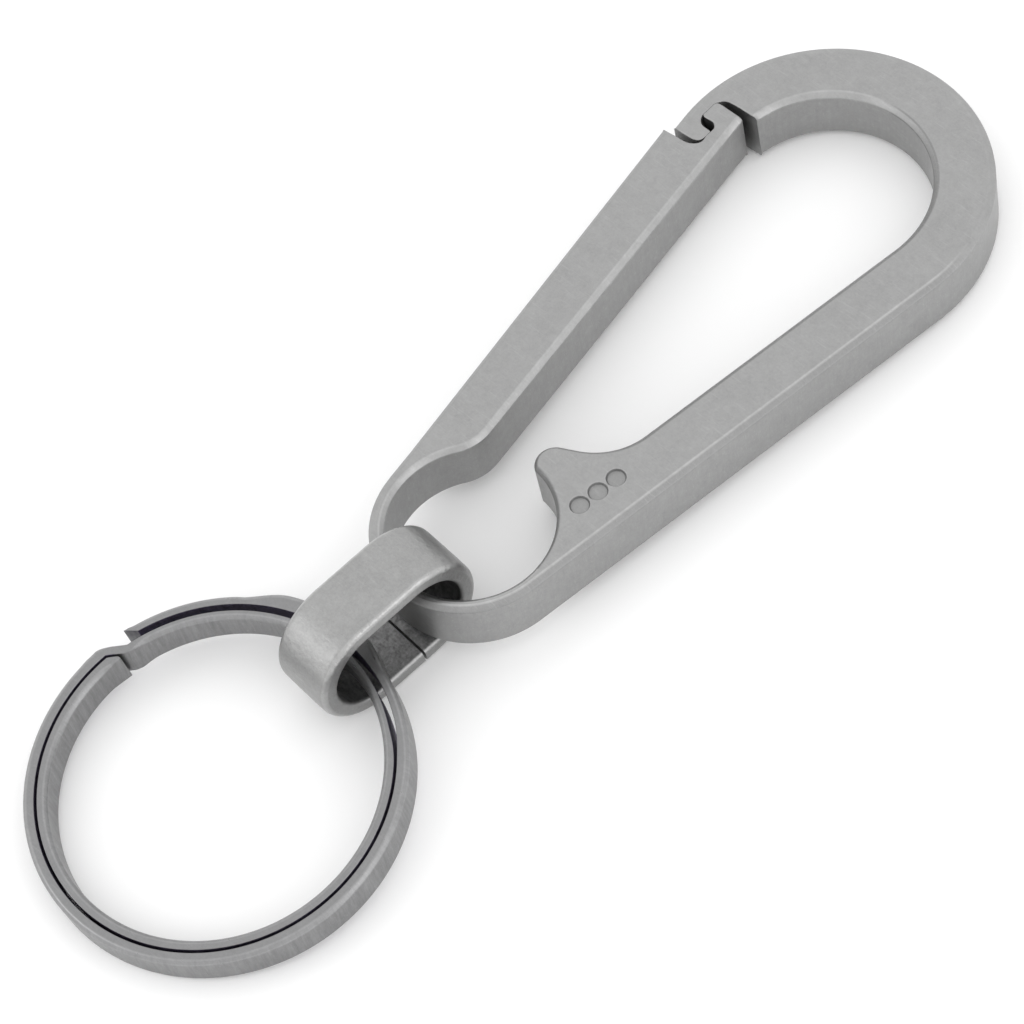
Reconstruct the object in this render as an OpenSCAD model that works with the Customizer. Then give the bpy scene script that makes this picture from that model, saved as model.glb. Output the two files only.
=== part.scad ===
// Keychain bottle opener: one-piece spring carabiner with an opener nose,
// a short oval link band and a flat two-turn split ring.
// Millimetres. +Z up, resting on a flat table (z = 0), long axis along Y.
// Origin: centre of the footprint of the whole assembly, on the table.

/* [Carabiner] */
// Width of the wide bow end
car_w = 26; // [25.5:0.1:26.5]
// Overall length of the carabiner
car_l = 59.5; // [58.5:0.1:60.5]
// Plate thickness
car_t = 5; // [4.6:0.1:5.1]
// Outer radius of the narrow end
tip_r = 7.57; // [7.4:0.01:7.7]
// Width of the solid spine and bow
limb_w = 4.73; // [4.5:0.01:4.9]
// Thickness of the thin spring arc round the narrow end
arc_t = 1.17; // [1.1:0.01:1.3]
// Broken outer edge, width
edge_c = 0.5; // [0.3:0.05:0.55]
// Broken outer edge, depth
edge_h = 0.26; // [0.2:0.02:0.4]
// Broken inner edge
eye_c = 0.4; // [0.25:0.05:0.45]
// Tip radius of the opener nose
nose_r = 1.5; // [1.4:0.05:1.6]
// Fillet between the opener nose and the spine
nose_fillet = 5.5; // [4.5:0.1:6]

/* [Gate] */
// How far the gate stands proud of the outline at the latch
gate_proud = 0.66; // [0.4:0.02:0.8]
// Width of the gate arm at its lower end
gate_w = 4.1; // [3.9:0.05:4.4]
// Width of the wide cuts in the latch
latch_cut = 0.62; // [0.5:0.01:0.7]
// Width of the close-fitting flanks of the latch
latch_fit = 0.08; // [0.06:0.01:0.12]

/* [Link band] */
// Outer height of the oval band
link_h = 10; // [9.8:0.05:10.2]
// Outer length of the oval band
link_l = 14.85; // [14.7:0.05:15]
// Width of the strip
link_w = 5.4; // [5:0.1:5.8]
// Thickness of the strip
link_t = 1.47; // [1.35:0.01:1.48]
// Broken rims of the band
link_c = 0.35; // [0.2:0.05:0.45]
// Width of the closing seam
link_seam = 0.14; // [0.1:0.01:0.25]

/* [Split ring] */
// Outer diameter
ring_od = 29; // [28.8:0.1:29.4]
// Inner diameter
ring_id = 25.2; // [25.1:0.05:25.3]
// Height of the ring
ring_h = 3.1; // [2.9:0.05:3.2]
// Slit between the two turns
ring_slit = 0.28; // [0.2:0.01:0.35]
// Broken edge on the ring
ring_c = 0.28; // [0.15:0.01:0.35]
// Thickness of the thin lead-in tongue
tongue_t = 0.68; // [0.6:0.01:0.72]

/* [Layout] */
// Slope of the carabiner, its narrow end lifted by the band
car_tilt = 1.7; // [1.65:0.01:1.85]
// Slope of the ring, its near side lifted by the band
ring_tilt = 3.85; // [3.7:0.05:4]
// Turn of the band about the vertical
link_yaw = -3.7; // [-4:0.1:-3]

/* [Hidden] */
$fn = 96;
e = 0.01;

// carabiner, derived: bow centre at [0,0], narrow end centre at [0,-cl]
R1 = car_w/2;
R2 = tip_r;
cl = car_l - R1 - R2;
ri = R1 - limb_w;
ra = R2 - arc_t;
dl = asin((R1 - R2)/cl);              // half angle between the two sides
nr = [cos(dl), -sin(dl)];             // outward normal, spine side
nl = [-cos(dl), -sin(dl)];            // outward normal, gate side
tr = [sin(dl), cos(dl)];              // up the spine
tl = [-sin(dl), cos(dl)];             // up the gate
cn = [0, -cl];
dn = R1 - R2;                         // normal offset of the narrow centre
// gate knuckle, on the middle of the thin arc
ga = 207;
rm = (R2 + ra)/2;
gp = cn + rm*[cos(ga), sin(ga)];
// latch levels
y_hook = -3.3;                        // lower end of the hook
y_gate = y_hook - latch_cut - 0.02;          // outer shoulder of the gate
y_top  = 0.6;                         // end of the gate
y_bow  = y_top + latch_cut;           // end of the inner half of the bow
x_neck = -10.12;                      // flank between hook barb and gate neck
x_wall = -11.7;                       // flank between hook and gate barb
// placement of the carabiner
y_tip = 46.12;
x_car = 1.27;
ring_y = y_tip - 77.72;
ring_x = 0;
ring_a = -9.56;
Ro = ring_od/2;
Ri = ring_id/2;
Rs = 13.5;                            // middle of the slit
// link band, derived
lr = link_h/2;
ls = link_l - link_h;
li = lr - link_t;
link_y = -15.46;
link_x = x_car - 0.39;

function on(n, d, s, t) = d*n + s*t;  // point at normal offset d, s along t

module at_car() translate([x_car, y_tip, 0]) rotate([-car_tilt, 0, 0]) translate([0, -13, 0]) children();
module at_ring() translate([ring_x, ring_y, Ro*sin(ring_tilt)]) rotate([ring_tilt, 0, 0]) rotate([0, 0, ring_a]) children();
module at_link() translate([link_x, link_y, lr]) rotate([0, 0, link_yaw]) children();

// disc with both rims broken
module chamf_disc(r, h, c, d) {
    cylinder(r1 = r - c, r2 = r, h = d);
    translate([0, 0, d]) cylinder(r = r, h = h - 2*d);
    translate([0, 0, h - d]) cylinder(r1 = r, r2 = r - c, h = d);
}
// cutter breaking both long edges of a straight side running from p to q;
// the material lies to the left of p -> q when sgn = 1, to the right when -1
module edge_bevel(p, q, c, d, sgn) {
    a = atan2(q[1] - p[1], q[0] - p[0]);
    k = d/c;
    translate([p[0], p[1], 0]) rotate([0, 0, a]) rotate([90, 0, 90]) linear_extrude(norm(q - p)) {
        polygon([[sgn*(c + e), -k*e], [-sgn*0.5, -k*e], [-sgn*0.5, d + 0.5*k], [-sgn*e, d + k*e]]);
        polygon([[sgn*(c + e), car_t + k*e], [-sgn*0.5, car_t + k*e], [-sgn*0.5, car_t - d - 0.5*k], [-sgn*e, car_t - d - k*e]]);
    }
}
// outer envelope of the carabiner, edges broken
module envelope() {
    chamf_disc(R1, car_t, edge_c, edge_h);
    translate([0, -cl, 0]) chamf_disc(R2, car_t, edge_c, edge_h);
    difference() {
        linear_extrude(car_t) polygon([on(nr, R1, 0, tr), on(nl, R1, 0, tl), cn + R2*nl, cn + R2*nr]);
        edge_bevel(cn + R2*nr, R1*nr, edge_c, edge_h, 1);
        edge_bevel(cn + R2*nl, R1*nl, edge_c, edge_h, -1);
    }
}
// inner rims of the two round openings, broken; the biting edge stays sharp
module eye_bevel(r) {
    translate([0, 0, -e]) cylinder(r1 = r + eye_c + e, r2 = r, h = eye_c + e);
    translate([0, 0, car_t - eye_c]) cylinder(r1 = r, r2 = r + eye_c + e, h = eye_c + e);
}
module eye_bevels() {
    eye_bevel(ri);
    intersection() {
        translate([0, -cl, 0]) eye_bevel(ra);
        translate([-10, -cl - 10, -1]) cube([20, 11.2, car_t + 2]);
    }
}

// 2D: opener nose and the thick lower spine
nl_a = 26.6;                                        // slope of the nose's upper side
nose_c = cn + [nose_r - 0.24, sqrt(pow(ra + nose_r, 2) - pow(nose_r - 0.24, 2)) - 0.12];
nose_n = [-sin(nl_a), cos(nl_a)];
nose_d = [cos(nl_a), sin(nl_a)];
nose_t = nose_c + nose_r*nose_n;                    // tangent point, upper side
// meeting of the nose's upper side and the inner side of the spine
r_in = ri - 0.004;                                   // inner wall of the spine
k_s = (r_in - nose_t*nr)/(nose_d*nr);
nose_k = nose_t + k_s*nose_d;
half = (90 - dl - nl_a)/2;
fl = nose_fillet*tan(half);
f1 = nose_k - fl*nose_d;
f2 = nose_k + fl*tr;
fc = f1 + nose_fillet*nose_n;
nose_m = cn + ra/(ra + nose_r)*(nose_c - cn);       // meets the mouth
// 2D: everything the carabiner outline loses: bow opening, gate side, mouth
module frame_cut_2d() {
    difference() {
        polygon([
            [0, y_bow], r_in*nr, f2, fc, f1, nose_t, nose_c, nose_m, cn,
            cn + 40*[cos(ga - 1), sin(ga - 1)], [-60, -60], [-60, y_hook],
            [x_wall + 0.6, y_hook + 0.04], [x_neck - 0.35, y_hook + 0.14], [x_neck - 0.1, y_hook + 0.3], [x_neck, y_hook + 0.55], [x_neck, -1.9],
            [x_neck - 0.12, -1.8], [-10.95, -1.83], [-11.4, -1.62], [x_wall, -1.18], [x_wall, 0.45], [-11.35, 0.9], [-10.9, 1.12], [-10, y_bow], [-8.8, y_bow + 0.05]
        ]);
        translate(nose_c) circle(r = nose_r);
    }
    circle(r = ri);
    translate(cn) circle(r = ra);
    intersection() {
        translate(fc) circle(r = nose_fillet);
        polygon([fc, f1, nose_k, f2]);
    }
    translate(gp) circle(r = arc_t/2 + 0.05);
}
module frame() {
    color([0.62, 0.62, 0.61]) at_car() difference() {
        envelope();
        translate([0, 0, -1]) linear_extrude(car_t + 2) frame_cut_2d();
        eye_bevels();
        // inner edge of the spine
        edge_bevel(f2, r_in*nr, eye_c, eye_c, -1);
        // three shallow grip dimples beside the nose
        for (i = [-1, 0, 1]) translate([5.55 + 0.24*i, -31 + 1.7*i, car_t + 0.85]) sphere(r = 1.15);
    }
}

// gate arm: sprung limb, latch head at the top, knuckle at the lower end
g_in = R1 - gate_w;                                  // normal offset of its inner side
gb = 4;                                            // round of the inner bump
g_s = sqrt(pow(ra + gb, 2) - pow(g_in + gb - dn, 2));
g_c = cn + (g_in + gb - dn)*nl + g_s*tl;
g_t1 = g_c - gb*nl;
g_t2 = cn + ra/(ra + gb)*(g_c - cn);
g_top = [-(R1 + gate_proud + y_gate*sin(dl))/cos(dl), y_gate];
g_low = cn + (R2 + 0.02)*nl + 2.5*tl;
module gate_2d() {
    difference() {
        union() {
            polygon([
                g_top, g_low, cn + R2*nl, cn + (ra - 0.5)*nl, cn + (ra - 0.5)*[cos(150), sin(150)],
                g_t2, g_c, g_t1,
                                [-(g_in + (y_top - 0.1)*sin(dl))/cos(dl), y_top - 0.1],
                [-9.35, y_top + 0.02], [x_neck + latch_fit, y_top + 0.02], [x_neck + latch_fit, -2.95], [x_neck, -3.12],
                [-10.4, -3.48], [-10.95, -3.74], [-12, -3.82]
            ]);
            intersection() {
                translate(g_c) circle(r = gb);
                polygon([g_c, g_t2, g_c + 1.6*(g_t1 + g_t2 - 2*g_c), g_t1]);
            }
            // barb, reaching behind the hook
            difference() {
                translate([x_wall + latch_fit, -1.12]) square([x_neck - x_wall + 0.2, y_top + 1.12]);
                translate([x_wall + latch_fit - e, -1.12 - e]) polygon([[0, 0], [0.2, 0], [0, 0.2]]);
                translate([x_wall + latch_fit - e, y_top + e]) polygon([[0, 0], [0.5, 0], [0.2, -0.06], [0, -0.25]]);
                // rounded inner corner of the barb
                translate([x_neck + latch_fit, -1.12 - e]) polygon([[0, 0], [0.5, 0], [0.5, -1]]);
            }
        }
        translate(cn) circle(r = ra);
    }
    // upper run of the thin arc, down to the knuckle
    difference() {
        translate(cn) circle(r = R2);
        translate(cn) circle(r = ra);
        polygon([cn, cn + 30*nl, cn + [-30, 60], cn + [60, 60], cn + [60, -60], cn + 60*[cos(ga), sin(ga)]]);
    }
    translate(gp) circle(r = arc_t/2);
}
module gate_arm() {
    color([0.60, 0.60, 0.59]) at_car() difference() {
        linear_extrude(car_t) gate_2d();
        // inner edge
        translate([0, -cl, 0]) eye_bevel(ra);
        edge_bevel(g_t1, on(nl, g_in, y_top + 1, tl), eye_c, eye_c, 1);
        edge_bevel(g_low, g_top + 0.1*(g_top - g_low)/norm(g_top - g_low), 0.35, edge_h, -1);
    }
}

// link band: strip bent to an oval, rims broken, seam in the lower flat
module oval_2d(r) {
    translate([-ls/2, 0]) circle(r = r);
    translate([ls/2, 0]) circle(r = r);
    translate([-ls/2, -r]) square([ls, 2*r]);
}
module oval_solid(r, w, c) {
    translate([-ls/2, 0, 0]) chamf_disc(r, w, c, c);
    translate([ls/2, 0, 0]) chamf_disc(r, w, c, c);
    translate([-ls/2, 0, 0]) rotate([90, 0, 90]) linear_extrude(ls)
        polygon([[-r + c, 0], [r - c, 0], [r, c], [r, w - c], [r - c, w], [-r + c, w], [-r, w - c], [-r, c]]);
}
module link_band() {
    color([0.68, 0.68, 0.67]) at_link() translate([-link_w/2, 0, 0]) rotate([90, 0, 90]) difference() {
        oval_solid(lr, link_w, link_c);
        translate([0, 0, -1]) linear_extrude(link_w + 2) oval_2d(li);
        translate([1.35, -lr - 1, -1]) cube([link_seam, link_t + 1.6, link_w + 2]);
    }
}

// split ring, local frame: z = 0 underside, angles about its own centre
s0 = Rs - ring_slit/2;
s1 = Rs + ring_slit/2;
tg = 141;                                            // knuckle of the tongue
tt = tongue_t/2;
tp = (Ro - 0.08 - tt)*[cos(tg), sin(tg)];
pad_r = 15;                                       // thick pad the tongue springs from
module slice(r, a0, a1) {
    polygon([[0, 0], r*[cos(a0), sin(a0)], for (a = [a0 + 30 : 30 : a1 - 10]) r*[cos(a), sin(a)], r*[cos(a1), sin(a1)]]);
}
// 2D: the slit, the room for the tongue and the gap at the crossover
module ring_cut_2d() {
    u = [cos(tg), sin(tg)];
    w = [sin(tg), -cos(tg)];
    // slit between the turns
    intersection() {
        difference() {
            circle(r = s1);
            circle(r = s0);
        }
        slice(20, 183.05, 424);
    }
    // wider gap beside the band, room for the tongue, outer side of the crossover
    difference() {
        union() {
            intersection() {
                circle(r = s1 + 0.1);
                slice(20, 61, 150);
            }
            polygon([tp + 0.02*u + 0.06*w, tp + 2*u + 0.3*w, tp + 2*u - 2*w, [-17, 8], [-17, -1.5], [-14.6, -1.5], [-14.46, -0.95], [-14.3, -0.5], [-13.95, 0.05], [-13.1, 1.24], [-11, 1.4], tp - 2.5*u - 2*w, tp - 0.9*u - 0.3*w, tp - 0.8*u + 0.1*w]);
        }
        circle(r = s0 - 0.12);
    }
    // gap behind the cut-back end of the inner turn
    polygon([[-13.56, -1.1], [-13.6, -0.72], [-12.98, 0.2], [-12.57, 0.32], [-12.2, 0.43], [-12.2, 0.08], [-12.62, 0.02], [-12.92, -0.06], [-13.36, -0.64], [-13.38, -0.72], [-13.42, -1.1]]);
}
module ring_coil() {
    color([0.60, 0.60, 0.61]) at_ring() difference() {
        union() {
            rotate_extrude() polygon([[Ri + ring_c, 0], [Ro - ring_c, 0], [Ro, ring_c], [Ro, ring_h - ring_c], [Ro - ring_c, ring_h], [Ri + ring_c, ring_h], [Ri, ring_h - ring_c], [Ri, ring_c]]);
            // pad beside the band
            intersection() {
                chamf_disc(pad_r, ring_h, ring_c, ring_c);
                linear_extrude(ring_h) difference() {
                    polygon([[0, 0], 14.4*[cos(84), sin(84)], 15.3*[cos(95), sin(95)], 30*[cos(97), sin(97)], 30*[cos(122), sin(122)], 15.1*[cos(124.5), sin(124.5)], 14.42*[cos(136.5), sin(136.5)], 14.42*[cos(140), sin(140)]]);
                    circle(r = 13.95);
                }
            }
        }
        translate([0, 0, -1]) linear_extrude(ring_h + 2) ring_cut_2d();
        translate([tp[0], tp[1], -1]) cylinder(r = tt + 0.04, h = ring_h + 2);
    }
}
// turn with only its outer rim broken
module sector3(r0, r1, c, a0, a1) {
    rotate([0, 0, a0]) rotate_extrude(angle = a1 - a0)
        polygon([[r0, 0], [r1 - c, 0], [r1, c], [r1, ring_h - c], [r1 - c, ring_h], [r0, ring_h]]);
}
module ring_tongue() {
    color([0.60, 0.60, 0.61]) at_ring() {
        difference() {
            sector3(Ro - 0.08 - tongue_t, Ro - 0.08, ring_c*0.7, tg, 176);
            // slanted end
            linear_extrude(3*ring_h, center = true) polygon([[-14.3, 1.5], [-13.6, 2.35], [-13, 2.4], [-13, -1], [-16, -1], [-16, 1.5]]);
        }
        translate([tp[0], tp[1], 0]) cylinder(r = tt, h = ring_h);
    }
}

frame();
gate_arm();
link_band();
ring_coil();
ring_tongue();
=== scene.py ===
import math
import bmesh
import bpy
import numpy as np
from mathutils import Matrix, Vector
from mathutils.geometry import delaunay_2d_cdt


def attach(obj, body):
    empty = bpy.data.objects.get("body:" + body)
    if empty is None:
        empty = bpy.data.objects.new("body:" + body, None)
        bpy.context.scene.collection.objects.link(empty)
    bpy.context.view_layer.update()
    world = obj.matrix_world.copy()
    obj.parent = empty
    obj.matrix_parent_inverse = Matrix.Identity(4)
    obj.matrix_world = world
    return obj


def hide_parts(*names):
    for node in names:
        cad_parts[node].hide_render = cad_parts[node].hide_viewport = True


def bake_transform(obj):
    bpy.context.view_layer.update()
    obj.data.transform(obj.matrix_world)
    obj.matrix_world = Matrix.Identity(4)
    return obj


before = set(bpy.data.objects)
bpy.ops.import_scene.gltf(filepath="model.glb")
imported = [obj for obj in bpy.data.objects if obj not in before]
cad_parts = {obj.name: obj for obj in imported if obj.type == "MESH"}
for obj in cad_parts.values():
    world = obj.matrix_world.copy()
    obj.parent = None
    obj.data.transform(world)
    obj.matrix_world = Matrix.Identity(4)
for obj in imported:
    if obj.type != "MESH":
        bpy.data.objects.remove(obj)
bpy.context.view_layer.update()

D = math.pi / 180

# ------------------------------------------------------------------ placement
# millimetres in each piece's own plane, then one matrix to the row frame


def rot_x(a):
    c, s = math.cos(a * D), math.sin(a * D)
    return np.array([[1, 0, 0], [0, c, -s], [0, s, c]])


def rot_z(a):
    c, s = math.cos(a * D), math.sin(a * D)
    return np.array([[c, -s, 0], [s, c, 0], [0, 0, 1]])


CAR_W, CAR_L, CAR_T = 26.0, 59.5, 5.0
X_CAR, Y_TIP, CAR_TILT = 1.27, 46.12, 1.7
RING_TILT, RING_A, RING_H = 3.85, -9.56, 3.1
R_OUT, R_IN, R_SLIT, SLIT = 14.5, 12.6, 13.5, 0.21
LINK_L, LINK_H, LINK_W, LINK_T = 14.85, 10.0, 5.4, 1.47
LINK_X, LINK_Y, LINK_YAW = X_CAR - 0.39, -15.46, -3.7


def car_to_row(p):
    return (p - [0, 13, 0]) @ rot_x(-CAR_TILT).T + [X_CAR, Y_TIP, 0]


def ring_to_row(p):
    return (p @ rot_z(RING_A).T) @ rot_x(RING_TILT).T + [0, Y_TIP - 77.72, R_OUT * math.sin(RING_TILT * D)]


def link_to_row(p):
    return p @ rot_z(LINK_YAW).T + [LINK_X, LINK_Y, LINK_H / 2]


# ------------------------------------------------------------------ 2D helpers
def pol(a, r=1.0):
    return np.array([math.cos(a * D), math.sin(a * D)]) * r


def arc(c, r, a0, a1, step=1.2):
    n = max(2, int(math.ceil(abs(a1 - a0) / step)) + 1)
    return [np.asarray(c, float) + pol(a, r) for a in np.linspace(a0, a1, n)]


class Outline:
    """A closed outline, material on the left. Each stretch between points carries
    its own broken edge: width w and depth d on the upper and on the lower rim. The fifth
    value cuts the rim's painted highlight, which partly stands for polish: 0 none cut, 1 all cut, above 1 painted
    shade."""

    def __init__(self):
        self.p, self.e = [], []

    def add(self, pts, w=0.05, d=0.05, wb=None, db=None, polish_and_light_cut=0.0):
        for q in pts:
            q = np.asarray(q, float)
            if self.p and np.linalg.norm(q - self.p[-1]) < 1e-4:
                self.e[-1] = (w, d, w if wb is None else wb, d if db is None else db, polish_and_light_cut)
                continue
            self.p.append(q)
            self.e.append((w, d, w if wb is None else wb, d if db is None else db, polish_and_light_cut))
        return self

    def ramp(self, pts, e0, e1):
        """As add, while the broken edge goes smoothly from e0 to e1."""
        for i, q in enumerate(pts):
            t = i / max(len(pts) - 1, 1)
            t = t * t * (3 - 2 * t)
            self.add([q], *[a + (b - a) * t for a, b in zip(e0, e1)])
        return self

    def done(self):
        """Points, and the broken edge of the stretch that leaves each point; extra
        points keep a change of edge next to a corner local to it."""
        p, e = self.p, self.e
        if np.linalg.norm(p[0] - p[-1]) < 1e-4:
            p, e = p[:-1], e[:-1]
        out_p, out_e = [], []
        n = len(p)
        for i in range(n):
            a, b = p[i], p[(i + 1) % n]
            prev = p[i - 1]
            length = np.linalg.norm(b - a)
            out_p.append(a)
            out_e.append(e[i])
            if length < 0.5 or e[i][0] == 0:
                continue

            def turn(x, y, z):
                u, v = y - x, z - y
                u, v = u / np.linalg.norm(u), v / np.linalg.norm(v)
                return abs(u[0] * v[1] - u[1] * v[0])

            nxt = p[(i + 2) % n]
            if (turn(prev, a, b) > 0.2 or e[i - 1] != e[i]) and e[i - 1][0] > 0:
                out_p.append(a + (b - a) * 0.14 / length)
                out_e.append(e[i])
            if (turn(a, b, nxt) > 0.2 or e[(i + 1) % n] != e[i]) and e[(i + 1) % n][0] > 0:
                out_p.append(b - (b - a) * 0.14 / length)
                out_e.append(e[i])
        return np.array(out_p), np.array(out_e)


def bez(p0, p1, p2, t):
    return p0 * (1 - t) ** 2 + p1 * 2 * t * (1 - t) + p2 * t * t


def rim_profile(w, d, soft=0.09, keep=0.04):
    """Inset and drop below the face, from the wall to the face, with softened corners."""
    if w == 0:
        return [np.zeros(2)] * 12
    length = math.hypot(w, d)
    a = min(soft, 0.42 * length)
    s = max(min(keep, 0.5 * length), 0.02)
    corner_a, corner_b = np.array([0.0, d]), np.array([w, 0.0])
    along = (corner_b - corner_a) / length
    pts = [np.array([0.0, d + a + s])]
    pts += [bez(corner_a + np.array([0, a]), corner_a, corner_a + along * a, t) for t in (0, 0.25, 0.5, 0.75, 1)]
    pts += [bez(corner_b - along * a, corner_b, corner_b + np.array([a, 0]), t) for t in (0, 0.25, 0.5, 0.75, 1)]
    pts.append(np.array([w + a + s, 0.0]))
    return pts


def insets(p, widths):
    """The outline moved into the material, each stretch by its own width. A stretch too
    short to survive the move shrinks to a point. widths: for the stretch leaving each point."""
    n = len(p)
    t = np.roll(p, -1, 0) - p
    t /= np.linalg.norm(t, axis=1)[:, None]
    nn = np.stack([-t[:, 1], t[:, 0]], 1)
    live = np.ones(n, bool)
    q = np.empty_like(p)
    for _ in range(60):
        ids = np.flatnonzero(live)
        for k, b in enumerate(ids):
            a = ids[k - 1]
            det = nn[a, 0] * nn[b, 1] - nn[a, 1] * nn[b, 0]
            if abs(det) > 0.15:
                x = np.linalg.solve(np.array([nn[a], nn[b]]), [widths[a] + nn[a] @ p[a], widths[b] + nn[b] @ p[b]])
            else:
                m = nn[a] + nn[b]
                m /= 1 + nn[a] @ nn[b]
                base = p[b] if (a + 1) % n == b else 0.5 * (p[(a + 1) % n] + p[b])
                x = base + m * 0.5 * (widths[a] + widths[b])
            v = (a + 1) % n
            while True:
                q[v] = x
                if v == b:
                    break
                v = (v + 1) % n
        dead = live & (np.sum((np.roll(q, -1, 0) - q) * t, 1) < 1e-6)
        if not dead.any():
            return q
        # the shortest of neighbouring stretches goes first
        size = np.linalg.norm(np.roll(p, -1, 0) - p, axis=1)
        for i in np.flatnonzero(dead):
            around = [size[j % n] for j in range(i - 1, i + 2) if dead[j % n]]
            if size[i] <= min(around):
                live[i] = False
    return q


def fill(loop, extra=()):
    """Triangles of a closed loop with extra points inside; indices into loop + extra."""
    pts = [Vector((float(x), float(y))) for x, y in list(loop) + list(extra)]
    n = len(loop)
    v, _, f, ov, _, _ = delaunay_2d_cdt(pts, [(i, (i + 1) % n) for i in range(n)], [], 1, 1e-6)
    back = {}
    for i, o in enumerate(ov):
        if not o:
            raise ValueError("outline crosses itself near %s" % (tuple(v[i]),))
        back[i] = o[0]
    return [tuple(back[i] for i in t) for t in f]


# how bright each line of a rim is painted, from the wall to the face: EDGE a painted highlight that partly stands for
# polish, EDGE_OUT painted shade on the wall side and a painted highlight by the face, EDGE_MOUTH painted shade
EDGE = np.array([0, 0.5, 1, 1, 1, 0.4, 0.4, 1, 1, 1, 0.5, 0])
EDGE_OUT = np.array([0, -0.3, -0.7, -0.9, -0.9, -0.8, -0.6, 0.3, 1.3, 1.6, 1.0, 0])
EDGE_MOUTH = np.array([0, -0.6, -1.2, -1.6, -1.6, -1.6, -1.6, -1.6, -1.4, -0.8, -0.3, 0])


# painted highlight on rims wider than 0.1, partly polish; the fifth outline value cuts it, and above 1 turns it into
# painted shade
def edge_polish_and_light(w, k, polish_and_light_cut):
    return EDGE[k] * (1 - polish_and_light_cut) * (w > 0.1)


# plates: outer rims get EDGE_OUT, painted shade on the wall side and a painted highlight by the face; the mouth gets
# EDGE_MOUTH, painted shade
def edge_polish_and_light_plate(w, k, polish_and_light_cut):
    return np.where(w > 0.42, EDGE_OUT[k] * (1 - polish_and_light_cut), np.where(np.abs(w - MOUTH[0]) < 0.03, EDGE_MOUTH[k], edge_polish_and_light(w, k, polish_and_light_cut)))


def plate(name, outline, height, to_row, dents=(), keep=0.04, deep=None, edge=edge_polish_and_light):
    """A plate with the given outline, its rims broken as the outline says. deep(p, z)
    says which points lie down in a narrow slit; these get painted shade."""
    p, e = outline.done()
    n = len(p)
    rings, zs, ss, side = [], [], [], []
    cut = e[:, 0] == 0                       # flat ends where two pieces of one bar meet
    run = np.concatenate([[0], np.cumsum(np.linalg.norm(np.diff(p, axis=0), axis=1))])

    def half(top):
        w = e[:, 0] if top else e[:, 2]
        d = e[:, 1] if top else e[:, 3]
        prof = np.array([rim_profile(w[i], d[i], soft=0.09 + 0.03 * min(max((w[i] - 0.4) / 0.1, 0), 1), keep=keep) for i in range(n)])  # n, k, 2
        out = []
        for k in range(prof.shape[1]):
            q = insets(p, prof[:, k, 0])
            here, before = prof[:, k, 1], np.roll(prof[:, k, 1], 1)
            drop = np.where(cut, before, np.where(np.roll(cut, 1), here, 0.5 * (here + before)))
            out.append((q, height - drop if top else drop, k))
        return out

    low, up = half(False)[::-1], half(True)
    for q, z, k in low + up:
        rings.append(q)
        zs.append(z)
        side.append(max(0.0, 1 - k / 10))
        ss.append(run)
    m = len(rings)
    co = [np.column_stack([rings[k], zs[k]]) for k in range(m)]
    wall = [np.column_stack([ss[k], zs[k], np.full(n, side[k])]) for k in range(m)]
    painted_light_and_wear = [np.column_stack([edge(e[:, 0], k, e[:, 4]), deep(rings[i], zs[i]) if deep else np.zeros(n), np.zeros(n)])
            for i, k in enumerate([r[2] for r in low + up])]
    faces = []
    for k in range(m - 1):
        for i in range(n):
            j = (i + 1) % n
            faces.append((k * n + i, k * n + j, (k + 1) * n + j, (k + 1) * n + i))
    # faces of the plate
    for t in fill(rings[0]):
        faces.append(tuple(reversed(t)))
    extra, depth, out = [], [], []
    for c, r, h in dents:
        # a dent is a round dimple of radius r and depth h with a softened rim
        for f in np.concatenate([np.linspace(0.12, 0.78, 5), np.linspace(0.82, 1.04, 12), [1.12]]):
            for a in np.arange(0, 360, 10):
                extra.append(np.array(c) + pol(a + 5 * (int(f * 100) % 2), r * f))
                depth.append(dent(f, h))
                out.append(f)
        extra.append(np.array(c))
        depth.append(dent(0, h))
        out.append(0)
    base = (m - 1) * n
    top = fill(rings[-1], extra)
    if extra:
        co.append(np.column_stack([np.array(extra), height - np.array(depth)]))
        wall.append(np.column_stack([np.zeros(len(extra)), np.full(len(extra), height), np.zeros(len(extra))]))
        # painted shade on the floor and wall of each dimple, painted highlight just outside its rim
        dimple_shade_and_glint = np.interp(out, [0, 0.7, 0.84, 0.9, 0.97, 1.02, 1.06, 1.12], [-0.4, -0.5, -1.1, -1.7, -1.2, 0.4, 0.5, 0])
        painted_light_and_wear.append(np.column_stack([dimple_shade_and_glint, np.zeros((len(extra), 2))]))
    for t in top:
        faces.append(tuple(base + i for i in t))
    return mesh(name, to_row(np.vstack(co)), faces, np.vstack(wall), np.vstack(painted_light_and_wear))


def dent(f, h):
    """Depth of a dimple at the fraction f of its radius: round floor, steep soft side."""
    t = min(max((f - 0.83) / 0.19, 0.0), 1.0)
    return h * (1 - 0.25 * f * f) * (1 - t * t * (3 - 2 * t))


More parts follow.
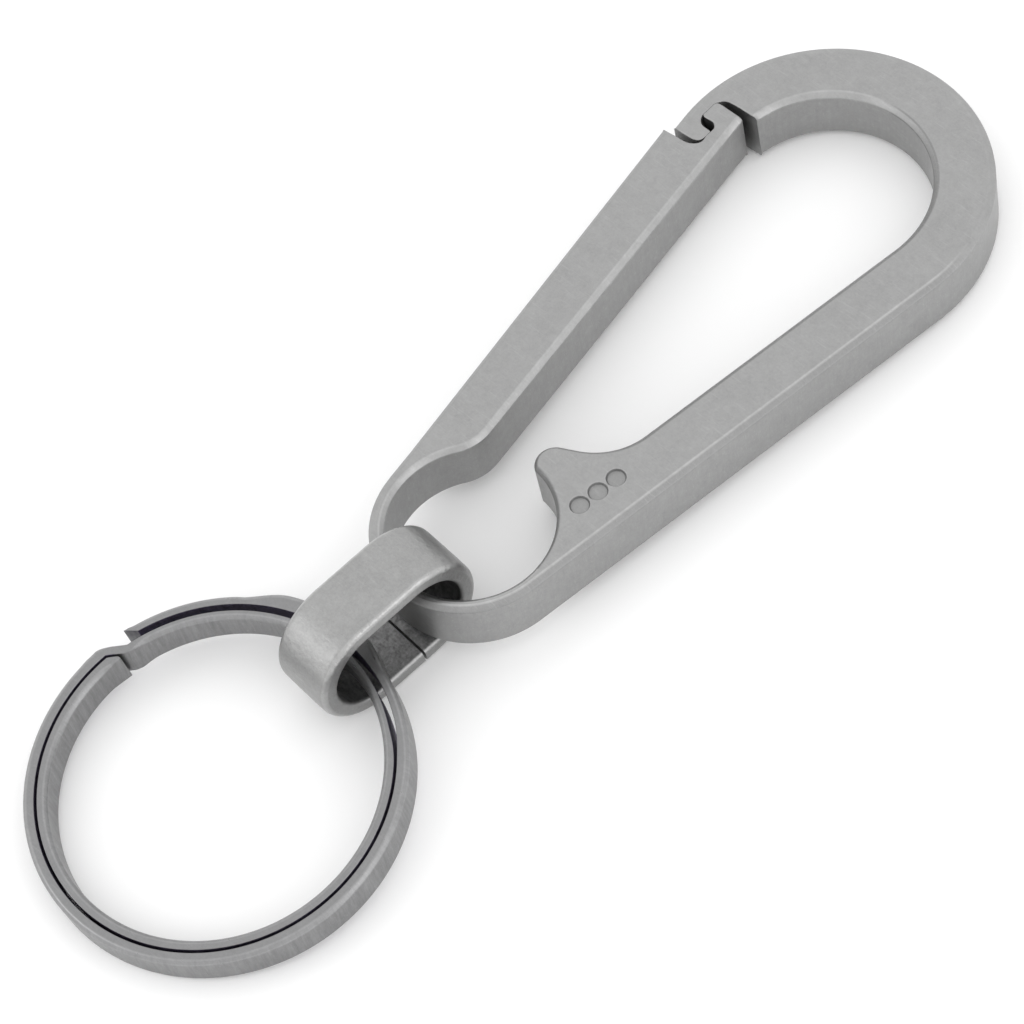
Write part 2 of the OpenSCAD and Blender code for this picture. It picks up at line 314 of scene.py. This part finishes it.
def mesh(name, co, faces, wall, painted_light_and_wear, sharp=32):
    me = bpy.data.meshes.new(name)
    me.from_pydata([tuple(float(x) for x in v) for v in co * 0.001], [], faces)
    me.update()
    a = me.attributes.new("wall", "FLOAT_VECTOR", "POINT")
    a.data.foreach_set("vector", np.asarray(wall, np.float32).ravel())
    a = me.attributes.new("painted_light_and_wear", "FLOAT_VECTOR", "POINT")
    a.data.foreach_set("vector", np.asarray(painted_light_and_wear, np.float32).ravel())
    bm = bmesh.new()
    bm.from_mesh(me)
    bmesh.ops.remove_doubles(bm, verts=bm.verts, dist=2e-7)
    bmesh.ops.dissolve_degenerate(bm, edges=bm.edges, dist=1e-8)
    bm.to_mesh(me)
    bm.free()
    me.shade_smooth()
    me.set_sharp_from_angle(angle=sharp * D)
    ob = bpy.data.objects.new(name, me)
    bpy.context.scene.collection.objects.link(ob)
    return ob


# ------------------------------------------------------------------ carabiner outline
R1, R2 = 13.0, 7.57
CL = CAR_L - R1 - R2
RI, RA = R1 - 4.73, R2 - 1.17
DL = math.degrees(math.asin((R1 - R2) / CL))
NR, NL = pol(-DL), np.array([-math.cos(DL * D), -math.sin(DL * D)])
TR, TL = np.array([math.sin(DL * D), math.cos(DL * D)]), np.array([-math.sin(DL * D), math.cos(DL * D)])
CN = np.array([0.0, -CL])
CUT = 255.0                                  # where the spring arc is divided, under the band

OUT = (0.5, 0.26, 0.5, 0.26, 0.0)            # outer edge, painted shade on the wall side and a painted highlight by the face
OUT_BOW = (0.5, 0.26, 0.5, 0.26, 0.9)        # the same round the bow, its painted shade and highlight mostly left out
EYE = (0.4, 0.4, 0.4, 0.4, 0.0)              # inner edge
EYE_SHADED = (0.4, 0.4, 0.4, 0.4, 2.3)         # the same, with painted shade on the rim in place of its highlight
FINE = (0.06, 0.06, 0.06, 0.06)              # hardly broken
TINY = (0.02, 0.02, 0.02, 0.02)              # close-fitting flanks of the latch
MOUTH = (0.26, 0.34, 0.26, 0.34, 1.6)        # nose and opener mouth, painted shade along the rim

nose_r = 1.5
nose_c = CN + np.array([nose_r - 0.24, math.sqrt((RA + nose_r) ** 2 - (nose_r - 0.24) ** 2) - 0.12])
NA = 26.6
nose_n, nose_d = np.array([-math.sin(NA * D), math.cos(NA * D)]), pol(NA)
nose_t = nose_c + nose_r * nose_n
nose_k = nose_t + (RI - nose_t @ NR) / (nose_d @ NR) * nose_d
FIL = 5.5
fl = FIL * math.tan((90 - DL - NA) / 2 * D)
f1, f2 = nose_k - fl * nose_d, nose_k + fl * TR
fc = f1 + FIL * nose_n
# crossing of the nose with the mouth circle, on the gate side
dd = np.linalg.norm(nose_c - CN)
uu = (nose_c - CN) / dd
xx = (dd * dd + RA * RA - nose_r ** 2) / (2 * dd)
hh = math.sqrt(RA * RA - xx * xx)
cross = CN + xx * uu + hh * np.array([-uu[1], uu[0]])


def ang(v):
    return math.degrees(math.atan2(v[1], v[0]))


fr = Outline()
fr.ramp(arc(CN, R2, CUT, 280), OUT_BOW, OUT)
fr.add(arc(CN, R2, 280, 360 - DL), *OUT)
fr.ramp(arc((0, 0), R1, -DL, 10), OUT, OUT_BOW)
fr.add(arc((0, 0), R1, 10, 180 + DL), *OUT_BOW)
hook = np.array([-(R1 + (-3.3) * math.sin(DL * D)) / math.cos(DL * D), -3.3])
fr.add([hook], *FINE)
fr.add([(-11.9, -3.3), (-11.1, -3.26), (-10.72, -3.21), (-10.44, -3.1), (-10.27, -2.95), (-10.17, -2.76), (-10.12, -2.5)], *FINE)
fr.add([(-10.12, -2.3), (-10.12, -1.93), (-10.18, -1.84)], *TINY)
fr.add([(-10.32, -1.8), (-10.95, -1.78), (-11.22, -1.7), (-11.44, -1.52), (-11.6, -1.3), (-11.69, -1.08)], *FINE)
fr.add([(-11.7, -0.9), (-11.7, 0.22), (-11.67, 0.4), (-11.58, 0.55)], *TINY)
fr.add([(-11.5, 0.68), (-11.35, 0.9), (-11.14, 1.04), (-10.9, 1.12), (-10.5, 1.18), (-10.0, 1.22)], *FINE)
a8 = 180 - math.degrees(math.asin(1.275 / RI))
fr.add(arc((0, 0), RI, a8, 108), *EYE)
fr.ramp(arc((0, 0), RI, 108, 84), EYE, EYE_SHADED)
fr.add(arc((0, 0), RI, 84, -DL), *EYE_SHADED)
fr.add([f2 + TR * 1.5], *EYE_SHADED)
a_f2, a_f1 = ang(f2 - fc), ang(f1 - fc)
fr.ramp(arc(fc, FIL, a_f2, a_f1 if a_f1 < a_f2 else a_f1 - 360, 1.5)[:], EYE_SHADED, MOUTH)
fr.add([nose_t], *MOUTH)
a0, a1 = ang(nose_t - nose_c), ang(cross - nose_c)
fr.add(arc(nose_c, nose_r, a0, a1 if a1 > a0 else a1 + 360, 4)[:-1], *MOUTH)
a0 = ang(cross - CN)
fr.add(arc(CN, RA, a0, 12), *MOUTH)
fr.ramp(arc(CN, RA, 12, -12), MOUTH, (0.36, 0.36, 0.36, 0.36))
fr.add(arc(CN, RA, -12, CUT - 360), 0.36, 0.36)
fr.add([CN + pol(CUT, RA)], 0, 0)
fr.add([CN + pol(CUT, R2)], *OUT)

frame_piece = plate("carabiner_body", fr, CAR_T, car_to_row,
                    dents=[((5.55 + 0.24 * i, -31 + 1.7 * i), 0.79, 0.3) for i in (-1, 0, 1)], edge=edge_polish_and_light_plate)

# gate: sprung limb from the cut in the arc to the latch head
g_in, gb = R1 - 4.1, 4.0
g_s = math.sqrt((RA + gb) ** 2 - (g_in + gb - (R1 - R2)) ** 2)
g_c = CN + (g_in + gb - (R1 - R2)) * NL + g_s * TL
# gate's outer rim: slight painted shade in place of the highlight
G_OUT = (0.35, 0.26, 0.35, 0.26, 1.15)
gt = Outline()
g_top = np.array([-(R1 + 0.66 - 3.94 * math.sin(DL * D)) / math.cos(DL * D), -3.94])
g_low = CN + R2 * NL + 2.5 * TL
gt.add([g_top], *G_OUT)
gt.add([g_top + (g_low - g_top) * t for t in np.linspace(0.05, 0.95, 12)], *G_OUT)
gt.ramp([g_low, CN + R2 * NL], G_OUT, OUT_BOW)
gt.add(arc(CN, R2, 180 + DL, CUT), *OUT_BOW)
gt.add([CN + pol(CUT, R2)], 0, 0)
a_c = ang(g_c - CN)
gt.add(arc(CN, RA, CUT, a_c)[:-1], 0.36, 0.36)
gt.ramp(arc(g_c, gb, a_c + 180, 360 + DL, 2.5), (0.36, 0.36, 0.36, 0.36), EYE)
g_in_top = np.array([-(g_in + 0.6 * math.sin(DL * D)) / math.cos(DL * D), 0.6])
g_b = g_c - gb * NL
gt.add([g_b + (g_in_top - g_b) * t for t in np.linspace(0.05, 1, 12)][:-1], *EYE)
gt.add([g_in_top], *FINE)
gt.add([(-11.05, 0.6), (-11.28, 0.59), (-11.44, 0.565)], *FINE)
gt.add([(-11.54, 0.53), (-11.652, 0.39), (-11.685, 0.2), (-11.685, -0.9), (-11.66, -1.02)], *TINY)
gt.add([(-11.5, -1.1), (-11.3, -1.1), (-10.8, -1.05), (-10.6, -1.07), (-10.42, -1.15), (-10.26, -1.28), (-10.15, -1.46)], *FINE)
gt.add([(-10.105, -1.7), (-10.105, -2.3)], *TINY)
gt.add([(-10.08, -2.55), (-10.05, -2.8), (-10.07, -3.03), (-10.2, -3.27),
        (-10.4, -3.46), (-10.66, -3.62), (-10.95, -3.73), (-11.4, -3.79), (-12.0, -3.82)], *FINE)
gate_piece = plate("spring_gate", gt, CAR_T, car_to_row, edge=edge_polish_and_light_plate)

# ------------------------------------------------------------------ split ring
S0, S1 = R_SLIT - SLIT / 2, R_SLIT + SLIT / 2
RC = (0.28, 0.28, 0.28, 0.28)
RF = (0.05, 0.05, 0.05, 0.05)
RCUT = 128.0                                 # where the lead-in tongue is divided from the pad


def spiral(r0, r1, a0, a1, n=14):
    t = np.linspace(0, 1, n)
    q = t * t * (3 - 2 * t)
    return [pol(a0 + (a1 - a0) * t[i], r0 + (r1 - r0) * q[i]) for i in range(n)]


o = np.zeros(2)
rg = Outline()
rg.add(arc(o, S0, 182.9, 413), *RF)
rg.add(spiral(S0, S0 - 0.155, 413, 427), *RF)
rg.add(arc(o, S0 - 0.155, 427, 534.6), *RF)
rg.ramp([(-13.2, 1.1), (-13.33, 0.9), (-13.62, 0.5), (-13.95, 0.05), (-14.14, -0.24), (-14.3, -0.52), (-14.41, -0.8), (-14.455, -1.05)], RF, (0.16, 0.16, 0.16, 0.16))
rg.add(spiral(14.48, 14.5, 545, 549, 4), 0.2, 0.2)
rg.add(arc(o, 14.5, 549, 803), *RC)
rg.add(spiral(14.5, 15.0, 803, 815), *RC)
rg.add(arc(o, 15.0, 815, 842), *RC)


def hump(a):
    """Outer radius of the ring past the pad, towards the tongue."""
    t = min(max((a - 122.0) / 15.0, 0), 1)
    return 15.0 - 0.58 * t * t * (3 - 2 * t)


rg.add([pol(a, hump(a)) for a in np.linspace(122, RCUT, 7)], *RC)
rg.add([pol(RCUT, hump(RCUT))], 0, 0)
rg.add(arc(o, S1 + 0.135, 720 + RCUT, 720 + 67), *RF)
rg.add(spiral(S1 + 0.135, S1, 720 + 67, 720 + 53), *RF)
rg.add(arc(o, S1, 720 + 53, 360 + 183.2), *RF)
rg.add([(-13.6, -0.7), (-13.32, -0.28), (-13.07, 0.07), (-12.91, 0.29), (-12.79, 0.46), (-12.70, 0.61), (-12.645, 0.75), (-12.612, 0.9)], 0.08, 0.08)
rg.ramp(arc(o, R_IN, 175.2, 169, 0.8), (0.08, 0.08, 0.08, 0.08), RC)
rg.add(arc(o, R_IN, 169, -170), *RC)
rg.ramp(arc(o, R_IN, -170, -179.6, 0.8), RC, RF)
rg.add([pol(-180.35, R_IN), (-12.66, 0.11), (-12.78, 0.09), (-12.92, 0.0), (-13.14, -0.29)], *RF)


# painted shade down in the narrow slit between the turns, tinted violet by the ring's shade colour
def slit_shade_mask(p, z):
    r = np.hypot(p[:, 0], p[:, 1])
    return ((r > S0 - 0.21) & (r < S1 + 0.18) & (z < RING_H - 0.045)).astype(float)


ring_piece = plate("split_ring", rg, RING_H, ring_to_row, keep=0.04, deep=slit_shade_mask)

tn = Outline()
tn.add([pol(a, hump(a)) for a in np.linspace(RCUT, 137, 9)], *RC)
tn.add(arc(o, 14.42, 137, 169), 0.2, 0.2)
tn.ramp([pol(a, 14.42) for a in (169.8, 170.8, 171.8, 173.9)], (0.2, 0.2, 0.2, 0.2), RF)
tn.add([(-14.25, 1.6), (-13.6, 2.3)], *RF)
tn.add(arc(o, S1 + 0.135, 170.1, RCUT), *RF)
tn.e[-1] = (0, 0, 0, 0, 0)
tongue_piece = plate("ring_lead_in", tn, RING_H, ring_to_row, keep=0.04, deep=slit_shade_mask)

# ------------------------------------------------------------------ link band


def band():
    ls, lr = LINK_L - LINK_H, LINK_H / 2
    st = []                                  # outer surface point (u, v) and outward normal
    u0, u1 = 1.52, 1.32
    for u in np.concatenate([[u0, u0 + 0.04, u0 + 0.12], np.linspace(u0 + 0.3, ls / 2, 4)[:-1]]):
        st.append((u, -lr, 0, -1))
    for a in np.linspace(-90, 90, 49):
        st.append((ls / 2 + lr * math.cos(a * D), lr * math.sin(a * D), math.cos(a * D), math.sin(a * D)))
    for u in np.linspace(ls / 2, -ls / 2, 14)[1:-1]:
        st.append((u, lr, 0, 1))
    for a in np.linspace(90, 270, 49):
        st.append((-ls / 2 + lr * math.cos(a * D), lr * math.sin(a * D), math.cos(a * D), math.sin(a * D)))
    for u in np.concatenate([np.linspace(-ls / 2, u1 - 0.3, 8)[1:], [u1 - 0.12, u1 - 0.04, u1]]):
        st.append((u, -lr, 0, -1))
    hw = LINK_W / 2
    ro, rn, rq = 0.55, 0.5, 0.32             # rounding of the rims: outside across, outside deep, inside
    sec = []                                 # (depth below the outer surface, across)
    for w in np.linspace(-hw + ro + 0.12, hw - ro - 0.12, 9):
        sec.append((0.018 * (w / hw) ** 2, w))
    base = 0.018
    for a in np.linspace(0, 90, 10):
        sec.append((base + (rn - base) * (1 - math.cos(a * D)), hw - ro + ro * math.sin(a * D)))
    sec.append((rn + 0.1, hw))
    sec.append((LINK_T - rq - 0.1, hw))
    for a in np.linspace(0, 90, 7):
        sec.append((LINK_T - rq + rq * math.sin(a * D), hw - rq + rq * math.cos(a * D)))
    sec.append((LINK_T, hw - rq - 0.12))
    sec.append((LINK_T, -hw + rq + 0.12))
    for a in np.linspace(90, 0, 7):
        sec.append((LINK_T - rq + rq * math.sin(a * D), -hw + rq - rq * math.cos(a * D)))
    sec.append((LINK_T - rq - 0.1, -hw))
    sec.append((rn + 0.1, -hw))
    for a in np.linspace(90, 0, 10):
        sec.append((base + (rn - base) * (1 - math.cos(a * D)), -hw + ro - ro * math.sin(a * D)))
    k = len(sec)
    co, wall, painted_light_and_wear, faces, run, last = [], [], [], [], 0.0, None
    for (u, v, nu, nv) in st:
        here = np.array([u, v])
        if last is not None:
            run += np.linalg.norm(here - last)
        last = here
        for dep, w in sec:
            co.append((w, u - nu * dep, v - nv * dep))
            wall.append((run, w, 1.0 if dep > 0.6 * LINK_T or abs(w) < hw - 0.3 else 0.3))
            # first value: painted highlight on the rounded outer rims, partly polish; second: painted shade on the
            # inside of the band
            painted_light_and_wear.append((1.0 if 0.05 < dep < rn - 0.05 else 0.0, 1.0 if dep > LINK_T - 0.02 else 0.0, 0.0))
    n = len(st)
    for i in range(n - 1):
        for j in range(k):
            a, b = i * k + j, i * k + (j + 1) % k
            faces.append((a, b, b + k, a + k))
    faces.append(tuple(reversed(range(k))))
    faces.append(tuple((n - 1) * k + j for j in range(k)))
    co = np.array(co)
    mid = co.reshape(n, k, 3)
    return mesh("link_loop", link_to_row(mid.reshape(-1, 3)), faces, np.array(wall), np.array(painted_light_and_wear))


link_piece = band()

for ob in (frame_piece, gate_piece, ring_piece, tongue_piece, link_piece):
    bm = bmesh.new()
    bm.from_mesh(ob.data)
    bmesh.ops.recalc_face_normals(bm, faces=bm.faces)
    bad = [e for e in bm.edges if len(e.link_faces) != 2]
    vol = bm.calc_volume(signed=True) * 1e9
    print("MESH", ob.name, len(bm.verts), len(bm.faces), "open edges", len(bad), "volume mm3 %.1f" % vol)
    bm.to_mesh(ob.data)
    bm.free()
    ob.data.set_sharp_from_angle(angle=32 * D)

# ------------------------------------------------------------------ bodies


def at(fn, xy, z):
    return tuple(fn(np.array([[xy[0], xy[1], z]]))[0] * 0.001)


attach(frame_piece, "carabiner")
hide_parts("frame")
at(car_to_row, CN + pol(228, 6.985), 2.5)
at(car_to_row, CN + pol(186, 6.985), 2.5)
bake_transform(gate_piece)
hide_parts("gate_arm")
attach(link_piece, "link")
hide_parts("link_band")
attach(ring_piece, "ring")
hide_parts("ring_coil")
at(ring_to_row, pol(133, 14.08), 1.55)
at(ring_to_row, pol(149, 14.08), 1.55)
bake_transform(tongue_piece)
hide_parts("ring_tongue")

# ------------------------------------------------------------------ materials


def tumbled(name, col, rough, mottle=0.05, grain=0.05, streak=0.0, streak_bump=0.0, grain_bump=0.35, seed=0.0, painted_shade_col=(0.12, 0.12, 0.12), edge_polish_light_gain=0.16, lump=0.6):
    """Bare titanium from a tumbler: soft mottling, fine grain, short scratches and,
    on the walls, the faint upright marks of the cutter. Over these, painted highlight and shade along the rims and
    painted shade in slits and inside the band, set per point."""
    m = bpy.data.materials.new(name)
    m.use_nodes = True
    nt = m.node_tree
    nt.nodes.clear()
    N, L = nt.nodes.new, nt.links.new
    out = N("ShaderNodeOutputMaterial")
    b = N("ShaderNodeBsdfPrincipled")
    L(b.outputs[0], out.inputs[0])
    b.inputs["Metallic"].default_value = 1.0
    tc = N("ShaderNodeTexCoord")
    mm = N("ShaderNodeVectorMath"); mm.operation = "MULTIPLY_ADD"
    L(tc.outputs["Object"], mm.inputs[0])
    mm.inputs[1].default_value = (1000, 1000, 1000)
    mm.inputs[2].default_value = (seed, seed * 0.7, seed * 1.3)

    def noise(vec, scale, detail=3.0, rough_=0.55, dist=0.0):
        n = N("ShaderNodeTexNoise")
        L(vec, n.inputs["Vector"])
        n.inputs["Scale"].default_value = scale
        n.inputs["Detail"].default_value = detail
        n.inputs["Roughness"].default_value = rough_
        n.inputs["Distortion"].default_value = dist
        return n.outputs["Fac"]

    def math_(op, a, bb, c=None):
        n = N("ShaderNodeMath"); n.operation = op
        for i, v in enumerate((a, bb, c)):
            if v is None:
                continue
            if isinstance(v, (int, float)):
                n.inputs[i].default_value = v
            else:
                L(v, n.inputs[i])
        return n.outputs[0]

    patch = noise(mm.outputs[0], 0.32, 3.0, 0.6, 0.4)
    fine = noise(mm.outputs[0], 4.5, 4.0, 0.65)
    dust = noise(mm.outputs[0], 10.0, 2.0, 0.5)
    cloud = noise(mm.outputs[0], 1.3, 3.0, 0.6, 0.6)
    # short scratches in three directions
    scr = None
    for k, (rx, ry) in enumerate(((0.35, 0), (1.35, 0.2), (2.3, -0.2))):
        mp = N("ShaderNodeMapping")
        L(mm.outputs[0], mp.inputs["Vector"])
        mp.inputs["Rotation"].default_value = (0, ry, rx)
        mp.inputs["Scale"].default_value = (0.55, 9.0, 2.2)
        mp.inputs["Location"].default_value = (13.1 * k, 7.7 * k, 3.3)
        s = noise(mp.outputs[0], 1.0, 1.0, 0.4, 0.25)
        r = N("ShaderNodeMapRange")
        L(s, r.inputs["Value"])
        r.inputs["From Min"].default_value, r.inputs["From Max"].default_value = 0.66, 0.80
        scr = r.outputs[0] if scr is None else math_("MAXIMUM", scr, r.outputs[0])
    wall = N("ShaderNodeAttribute"); wall.attribute_name = "wall"
    sx = N("ShaderNodeSeparateXYZ")
    L(wall.outputs["Vector"], sx.inputs[0])
    cx = N("ShaderNodeCombineXYZ")
    L(math_("MULTIPLY_ADD", sx.outputs[1], -0.2, math_("MULTIPLY", sx.outputs[0], 3.3)), cx.inputs[0])
    L(math_("MULTIPLY", sx.outputs[1], 0.3), cx.inputs[1])
    cx.inputs[2].default_value = seed
    lines = noise(cx.outputs[0], 1.0, 3.0, 0.6, 0.15)
    wv = N("ShaderNodeAttribute"); wv.attribute_name = "painted_light_and_wear"
    sw = N("ShaderNodeSeparateXYZ")
    L(wv.outputs["Vector"], sw.inputs[0])
    marks = math_("MULTIPLY", math_("SUBTRACT", lines, 0.5), sx.outputs[2])
    # colour
    v = math_("MULTIPLY_ADD", math_("SUBTRACT", patch, 0.5), mottle * 2, 1.0)
    v = math_("MULTIPLY_ADD", math_("SUBTRACT", fine, 0.5), grain * 2, v)
    v = math_("MULTIPLY_ADD", math_("SUBTRACT", dust, 0.5), grain, v)
    v = math_("MULTIPLY_ADD", math_("SUBTRACT", cloud, 0.5), mottle * 2, v)
    v = math_("MULTIPLY_ADD", scr, 0.07, v)
    v = math_("MULTIPLY_ADD", marks, streak, v)
    v = math_("MULTIPLY_ADD", math_("MULTIPLY", math_("SUBTRACT", cloud, 0.5), sw.outputs[1]), 1.3, v)
    v = math_("MULTIPLY_ADD", math_("MULTIPLY", math_("SUBTRACT", fine, 0.5), sw.outputs[1]), 1.0, v)
    # painted highlight and painted shade along the edges, partly polish of the tumbling; painted shade, darker and
    # rougher, in the slit and on the inside of the band
    v = math_("MULTIPLY_ADD", math_("MULTIPLY", sw.outputs[0], math_("MULTIPLY_ADD", cloud, 1.2, 0.4)), edge_polish_light_gain, v)
    tone = N("ShaderNodeMix"); tone.data_type = "RGBA"
    L(sw.outputs[1], tone.inputs[0])
    tone.inputs[6].default_value = (*col, 1)
    tone.inputs[7].default_value = (*painted_shade_col, 1)
    mix = N("ShaderNodeVectorMath"); mix.operation = "SCALE"
    L(tone.outputs[2], mix.inputs[0])
    L(v, mix.inputs["Scale"])
    L(mix.outputs[0], b.inputs["Base Color"])
    # roughness
    r = math_("MULTIPLY_ADD", math_("SUBTRACT", patch, 0.5), 0.16, rough)
    r = math_("MULTIPLY_ADD", math_("SUBTRACT", fine, 0.5), 0.14, r)
    r = math_("MULTIPLY_ADD", scr, -0.08, r)
    r = math_("MULTIPLY_ADD", sw.outputs[0], -0.08, r)
    r = math_("MULTIPLY_ADD", sw.outputs[1], 0.15, r)
    L(r, b.inputs["Roughness"])
    # relief
    h = math_("MULTIPLY_ADD", fine, 0.6, math_("MULTIPLY", dust, 0.35))
    h = math_("MULTIPLY_ADD", noise(mm.outputs[0], 2.6, 2.0, 0.5, 0.3), lump, h)
    h = math_("MULTIPLY_ADD", scr, -0.25, h)
    h = math_("MULTIPLY_ADD", marks, streak_bump, h)
    bp = N("ShaderNodeBump")
    bp.inputs["Strength"].default_value = grain_bump
    bp.inputs["Distance"].default_value = 0.00003
    L(h, bp.inputs["Height"])
    L(bp.outputs[0], b.inputs["Normal"])
    return m


PLATE = tumbled("tumbled_plate", (0.345, 0.345, 0.344), 0.46, mottle=0.10, grain=0.13, streak=0.16, streak_bump=0.3)
BAND = tumbled("tumbled_band", (0.335, 0.335, 0.333), 0.40, mottle=0.12, grain=0.18, streak=0.08, streak_bump=0.1, grain_bump=0.9, seed=31.0, painted_shade_col=(0.215, 0.215, 0.215), lump=1.6)
RING = tumbled("cut_ring", (0.256, 0.256, 0.2585), 0.42, mottle=0.08, grain=0.13, streak=0.75, streak_bump=1.3, seed=57.0, painted_shade_col=(0.145, 0.128, 0.19))
for ob, m in ((frame_piece, PLATE), (gate_piece, PLATE), (link_piece, BAND), (ring_piece, RING), (tongue_piece, RING)):
    ob.data.materials.append(m)
for name, m in (("frame", PLATE), ("gate_arm", PLATE), ("link_band", BAND), ("ring_coil", RING), ("ring_tongue", RING)):
    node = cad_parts[name]
    if not node.material_slots:
        node.data.materials.append(m)
    for sl in node.material_slots:
        sl.link = "OBJECT"
        sl.material = m

# ------------------------------------------------------------------ floor, light, camera
me = bpy.data.meshes.new("floor")
S = 1.6
me.from_pydata([(-S, -S, 0), (S, -S, 0), (S, S, 0), (-S, S, 0)], [], [(0, 1, 2, 3)])
floor = bpy.data.objects.new("floor", me)
bpy.context.scene.collection.objects.link(floor)
fm = bpy.data.materials.new("pale_floor")
fm.use_nodes = True
fb = fm.node_tree.nodes["Principled BSDF"]
fb.inputs["Base Color"].default_value = (0.97, 0.97, 0.97, 1)
fb.inputs["Roughness"].default_value = 0.9
fb.inputs["Specular IOR Level"].default_value = 0.1
me.materials.append(fm)

w = bpy.data.worlds.new("studio")
bpy.context.scene.world = w
w.use_nodes = True
w.node_tree.nodes["Background"].inputs["Color"].default_value = (1, 1, 1, 1)
w.node_tree.nodes["Background"].inputs["Strength"].default_value = 1.2
bpy.context.scene.view_settings.view_transform = "Standard"


def area(name, loc, target, size, power):
    la = bpy.data.lights.new(name, "AREA")
    la.shape = "RECTANGLE"
    la.size, la.size_y = size
    la.energy = power
    ob = bpy.data.objects.new(name, la)
    bpy.context.scene.collection.objects.link(ob)
    ob.location = loc
    ob.rotation_euler = (Vector(target) - Vector(loc)).to_track_quat("-Z", "Y").to_euler()
    return ob


area("right", (0.7, 0.15, 0.33), (0, 0, 0), (0.45, 0.4), 0.66)
area("left", (-0.4, -0.62, 0.4), (0, -0.01, 0), (0.4, 0.4), 0.6)

R = np.array([[0.7087235069402875, 0.6904209781418912, -0.14501677024349383],
              [0.5404288786212158, -0.6634454961228406, -0.5174714492863669],
              [-0.4534838672571223, 0.2883729297557453, -0.8433228536697037]])
T = np.array([23.754498413318306, -25.109258897813447, 304.37098178833656])
A = rot_x(-CAR_TILT)
eye = A @ (-R.T @ T + [0, -13, 5.0189]) + [X_CAR, Y_TIP, 0]
rot = A @ R.T @ np.diag([1, -1, -1])
cam = bpy.data.cameras.new("camera")
cam.sensor_width = 36
cam.lens = 4000 / 1024 * 36
cam.clip_start, cam.clip_end = 0.02, 20
co_ = bpy.data.objects.new("camera", cam)
bpy.context.scene.collection.objects.link(co_)
mw = Matrix(rot.tolist()).to_4x4()
mw.translation = Vector(eye * 0.001)
co_.matrix_world = mw
bpy.context.scene.camera = co_
print("EYE", eye)
